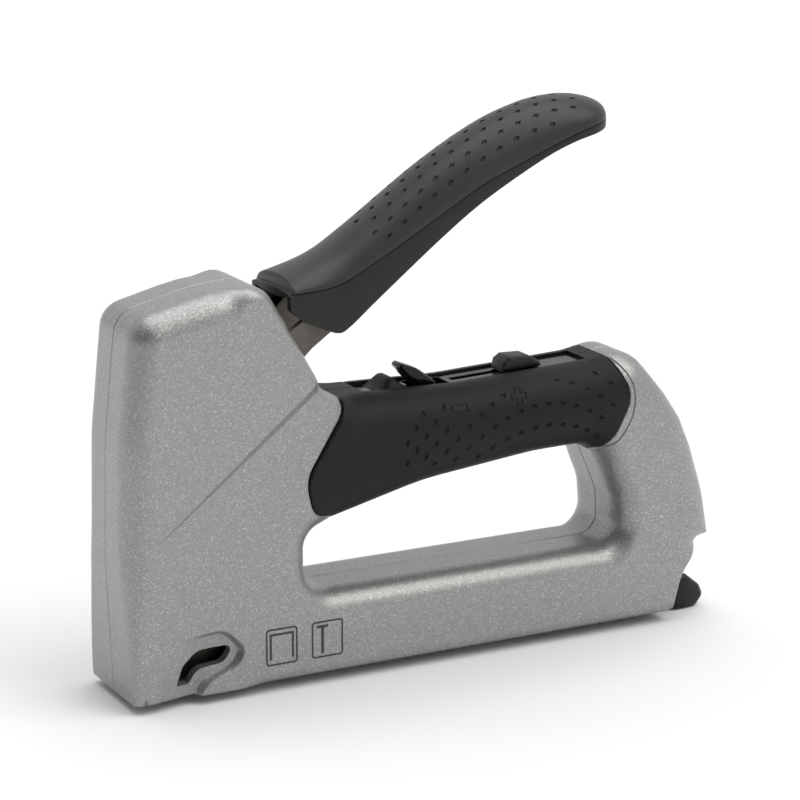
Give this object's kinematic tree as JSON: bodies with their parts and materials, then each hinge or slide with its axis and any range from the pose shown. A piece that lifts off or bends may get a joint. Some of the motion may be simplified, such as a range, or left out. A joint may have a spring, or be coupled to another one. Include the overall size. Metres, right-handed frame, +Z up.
{
  "type": "staple gun",
  "caption": "Hand tacker with a die-cast body and hand hole, rubber grip, top squeeze lever, spring-driven striker, power slider, lever lock hook and rear-loading magazine.",
  "frame": {"origin": "on the resting plane, which is the underside of the magazine, below the middle of the part's length and width", "axes": "+X from the nose towards the rear knob, +Y across to the side with the screw heads, +Z up"},
  "size_m": [0.1917, 0.033, 0.1586],
  "materials": {
    "silver_casting": "fine metal-flake paint, satin",
    "grip_rubber": "moulded soft-touch, matt",
    "lever_plastic": "fine moulded texture, satin",
    "lever_pad": "moulded soft-touch with dimples, matt",
    "gloss_plastic": "smooth, glossy",
    "dark_steel": "blackened, oiled",
    "bright_steel": "ground",
    "spring_steel": "drawn wire"
  },
  "bodies": {
    "housing": {"housing_left": "silver_casting", "housing_right": "silver_casting", "grip_cover_left": "grip_rubber", "grip_cover_right": "grip_rubber", "adjuster_track": "gloss_plastic", "housing_screw_1": "dark_steel", "housing_screw_2": "dark_steel", "housing_screw_3": "dark_steel", "housing_screw_4": "dark_steel", "housing_screw_5": "dark_steel", "lever_pivot_pin": "bright_steel", "hook_pin": "bright_steel", "hook_spring": "spring_steel", "lever_return_spring": "spring_steel", "main_spring": "spring_steel", "spring_seat": "dark_steel", "bumper": "grip_rubber", "nose_plate": "bright_steel", "blade_guide": "dark_steel", "magazine_channel": "dark_steel", "magazine_core": "bright_steel"},
    "lever": {"lever_shell": "lever_plastic", "lever_pad": "lever_pad", "lever_arm": "dark_steel", "lift_pin": "bright_steel", "lever_roll_pin_front": "bright_steel", "lever_roll_pin_rear": "bright_steel", "lever_bush_left": "bright_steel", "lever_bush_right": "bright_steel"},
    "striker": {"striker_blade": "bright_steel", "striker_carrier": "dark_steel"},
    "pusher": {"pusher_knob": "lever_plastic", "pusher_rod": "bright_steel", "pusher_spring": "spring_steel"},
    "follower": {"feed_follower": "lever_plastic"},
    "adjuster": {"power_slider": "gloss_plastic", "adjuster_rod": "bright_steel"},
    "hook": {"lock_hook": "gloss_plastic"}
  },
  "joints": [
    {"name": "lever_hinge", "type": "hinge", "parent": "housing", "child": "lever", "pos_m": [-0.0523, 0, 0.0926], "axis": [0, 1, 0], "range_deg": [0, 32], "stiffness_Nm_per_rad": 4, "springref_deg": -17.19, "deforming": ["lever_return_spring"]},
    {"name": "striker_lift", "type": "slide", "parent": "housing", "child": "striker", "axis": [0, 0, 1], "range_m": [0, 0.0178], "deforming": ["main_spring"]},
    {"name": "magazine_pull", "type": "slide", "parent": "housing", "child": "pusher", "axis": [1, 0, 0], "range_m": [0, 0.14]},
    {"name": "follower_feed", "type": "slide", "parent": "pusher", "child": "follower", "axis": [1, 0, 0], "range_m": [0, 0.135], "stiffness_N_per_m": 35, "springref_m": -0.12, "deforming": ["pusher_spring"]},
    {"name": "power_slide", "type": "slide", "parent": "housing", "child": "adjuster", "axis": [-1, 0, 0], "range_m": [0, 0.02]},
    {"name": "hook_swing", "type": "hinge", "parent": "housing", "child": "hook", "pos_m": [0.0017, 0, 0.0741], "axis": [0, 1, 0], "range_deg": [-14, 0], "stiffness_Nm_per_rad": 0.02, "springref_deg": 17.19, "deforming": ["hook_spring"]}
  ],
  "couplings": [
    {"joint": "striker_lift", "follows": "lever_hinge", "m_per_rad": 0.0317}
  ]
}
